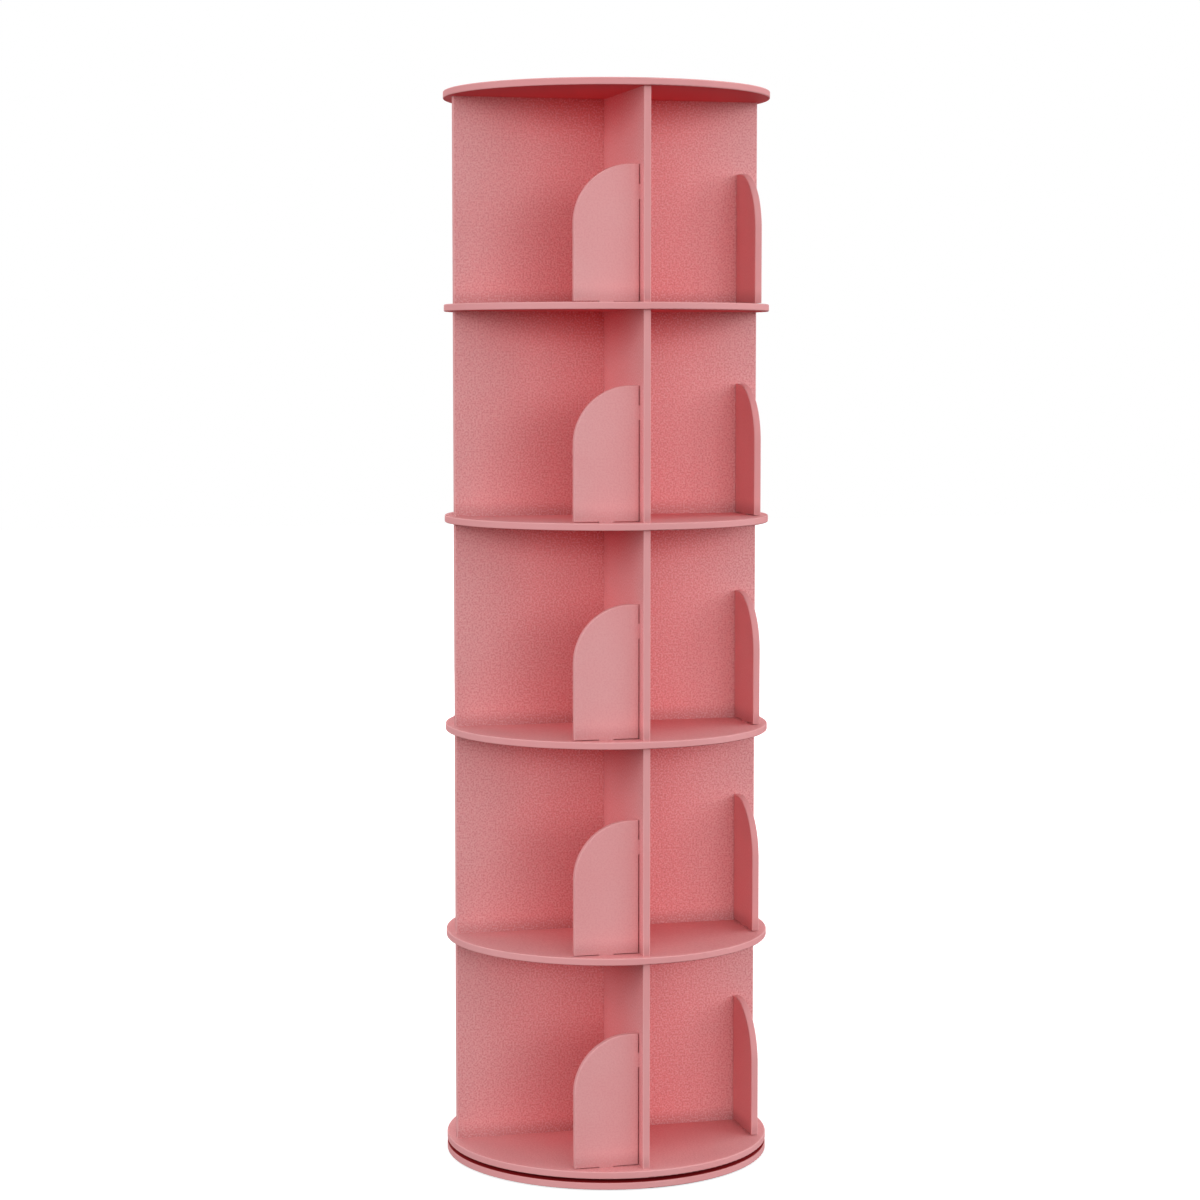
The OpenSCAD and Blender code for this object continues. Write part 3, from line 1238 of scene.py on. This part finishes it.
@dataclass
class Studio:
    """White room: a pale floor, soft lamps and a soft sky above the floor.

    Attributes:
        floor_reach: Distance from the axis to the sides of the floor.
        floor_paper: Share of the light that the paper shows.
        floor_glow: Light of its own that the paper shows near the bookcase.
        floor_far_glow: The same far from the bookcase.
        floor_near: Distance from the axis at which the glow starts to change.
        floor_far: Distance at which it has changed.
        floor_bounce: Share of the light that the floor sends back to the bookcase.
        sky: Light of the sky.
        sky_full: Upward part of a direction from which on the sky has all its light.
        lamps: The soft lamps.
    """

    floor_reach: float = 15.0
    floor_paper: float = 0.5
    floor_glow: float = 0.8
    floor_far_glow: float = 1.0
    floor_near: float = 0.8
    floor_far: float = 3.0
    floor_bounce: float = 0.05
    sky: float = 0.54
    sky_full: float = 0.25
    lamps: tuple[Softbox, ...] = (
        Softbox(
            "left_softbox", azimuth=-82, distance=5.0, height=1.8, aim=1.0, size=(3.1, 2.5), radiance=4.1
        ),
        Softbox(
            "front_softbox", azimuth=-1, distance=20.0, height=3.4, aim=0.9, size=(20.0, 5.2), radiance=4.9
        ),
        Softbox(
            "right_softbox", azimuth=50, distance=6.0, height=2.0, aim=0.9, size=(3.6, 2.8), radiance=2.4
        ),
        Softbox(
            "side_softbox", azimuth=95, distance=6.0, height=2.0, aim=0.9, size=(3.6, 2.8), radiance=3.2
        ),
        Softbox(
            "back_softbox", azimuth=180, distance=6.0, height=2.0, aim=0.9, size=(6.0, 3.0), radiance=3.0
        ),
        Softbox(
            "top_softbox", azimuth=0, distance=0.0, height=4.0, aim=1.5, size=(0.6, 0.6), radiance=11.0
        ),
    )

    def seen_or_lit(
        self, graph: Graph, seen: bpy.types.Node, lit: bpy.types.Node
    ) -> bpy.types.NodeSocket:
        """Shows one shader to the eye and to reflections, and lights the bookcase by another.

        Args:
            graph: The node tree.
            seen: Shader that is seen, mirrored or looked at through glass.
            lit: Shader that all other rays meet.

        Returns:
            The mixed shader.
        """
        seen_share = graph.rays("Camera", "Glossy", "Transmission")
        inputs = {0: seen_share, 1: lit.outputs[0], 2: seen.outputs[0]}
        return graph.node("ShaderNodeMixShader", None, inputs).outputs[0]

    def floor_material(self) -> bpy.types.Material:
        """Paper that is white where nothing shades it, and sends little light back up.

        Returns:
            The material.
        """
        made = bpy.data.materials.new("floor_paper")
        made.use_nodes = True
        graph = Graph(made.node_tree)
        paper = graph.node("ShaderNodeBsdfDiffuse", None, {"Color": grey(self.floor_paper)})
        far = graph.axis_distance().rise(self.floor_near, self.floor_far)
        lift = graph.blend(far, grey(self.floor_glow), grey(self.floor_far_glow))
        glow = graph.node("ShaderNodeEmission", None, {"Color": lift})
        shown = graph.node("ShaderNodeAddShader", None, {0: paper.outputs[0], 1: glow.outputs[0]})
        dim = graph.node("ShaderNodeBsdfDiffuse", None, {"Color": grey(self.floor_bounce)})
        mixed = self.seen_or_lit(graph, shown, dim)
        graph.node("ShaderNodeOutputMaterial", None, {"Surface": mixed})
        return made

    def build_floor(self) -> bpy.types.Object:
        """Lays the floor under the base.

        Returns:
            The floor, which is part of the stage.
        """
        quarters = ((-1, -1), (1, -1), (1, 1), (-1, 1))
        corners = [(x * self.floor_reach, y * self.floor_reach, 0.0) for x, y in quarters]
        mesh = bpy.data.meshes.new("floor")
        mesh.from_pydata(corners, [], [range(len(corners))])
        mesh.materials.append(self.floor_material())
        floor = bpy.data.objects.new("floor", mesh)
        bpy.context.scene.collection.objects.link(floor)
        return floor

    def build_sky(self) -> None:
        """Sets a world that looks white and lights the bookcase softly from above the floor."""
        world = bpy.data.worlds.new("white_room")
        world.use_nodes = True
        graph = Graph(world.node_tree)
        ray = graph.node("ShaderNodeTexCoord").outputs["Generated"]
        up = Value(graph, graph.node("ShaderNodeSeparateXYZ", None, {"Vector": ray}).outputs["Z"])
        light = graph.blend(up.rise(0.0, self.sky_full), grey(0.0), grey(self.sky))
        soft = graph.node("ShaderNodeBackground", None, {"Color": light})
        white = graph.node("ShaderNodeBackground", None, {"Color": grey(1.0)})
        mixed = self.seen_or_lit(graph, white, soft)
        graph.node("ShaderNodeOutputWorld", None, {"Surface": mixed})
        bpy.context.scene.world = world

    def build(self) -> None:
        """Adds the floor, the sky and the lamps, and sets plain colours."""
        bpy.context.scene.view_settings.view_transform = "Standard"
        self.build_floor()
        self.build_sky()
        for lamp in self.lamps:
            lamp.build()
            log.info("%s: lamp", lamp.name)


@dataclass
class Viewpoint:
    """Camera at the photograph's viewing angle, for a square picture.

    Attributes:
        picture: Width of the picture in pixels.
        focal: Focal length in pixels.
        sensor: Width of the sensor in millimetres.
        azimuth: Angle round the axis in degrees, from the front towards the right.
        distance: Distance from the axis.
        height: Height over the floor.
        pitch: Angle in degrees by which it looks up.
        axis_offset: Distance in pixels of the axis from the middle of the picture.
        reach: Largest distance that it sees.
    """

    picture: float = 1200.0
    focal: float = 2861.0
    sensor: float = 36.0
    azimuth: float = -14.5
    distance: float = 4.073
    height: float = 1.1451
    pitch: float = -4.91
    axis_offset: float = 6.3
    reach: float = 100.0

    def build(self) -> bpy.types.Object:
        """Adds the camera and makes it the scene's camera.

        Returns:
            The camera's object.
        """
        lens = bpy.data.cameras.new("viewpoint")
        lens.sensor_width = self.sensor
        lens.lens = self.sensor * self.focal / self.picture
        lens.clip_end = self.reach
        camera = bpy.data.objects.new("viewpoint", lens)
        turn = math.radians(self.azimuth)
        yaw = math.atan2(self.axis_offset, self.focal)
        camera.location = (self.distance * math.sin(turn), -self.distance * math.cos(turn), self.height)
        camera.rotation_euler = (math.pi / 2 + math.radians(self.pitch), 0.0, turn + yaw)
        bpy.context.scene.collection.objects.link(camera)
        bpy.context.scene.camera = camera
        return camera


def main() -> None:
    """Loads the frame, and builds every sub-assembly and the studio."""
    logging.basicConfig(level=logging.INFO, format="%(message)s")
    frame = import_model()
    nodes: Nodes = frame["nodes"]
    tiers = sum(name.endswith("_divider_left_right") for name in nodes)
    BaseStand(nodes).build()
    Turntable(nodes).build()
    Shelves(nodes, tiers).build()
    Screws(tiers).build()
    for level in range(1, tiers + 1):
        Tier(nodes, level).build()
    Studio().build()
    Viewpoint().build()


if __name__ == "__main__":
    main()
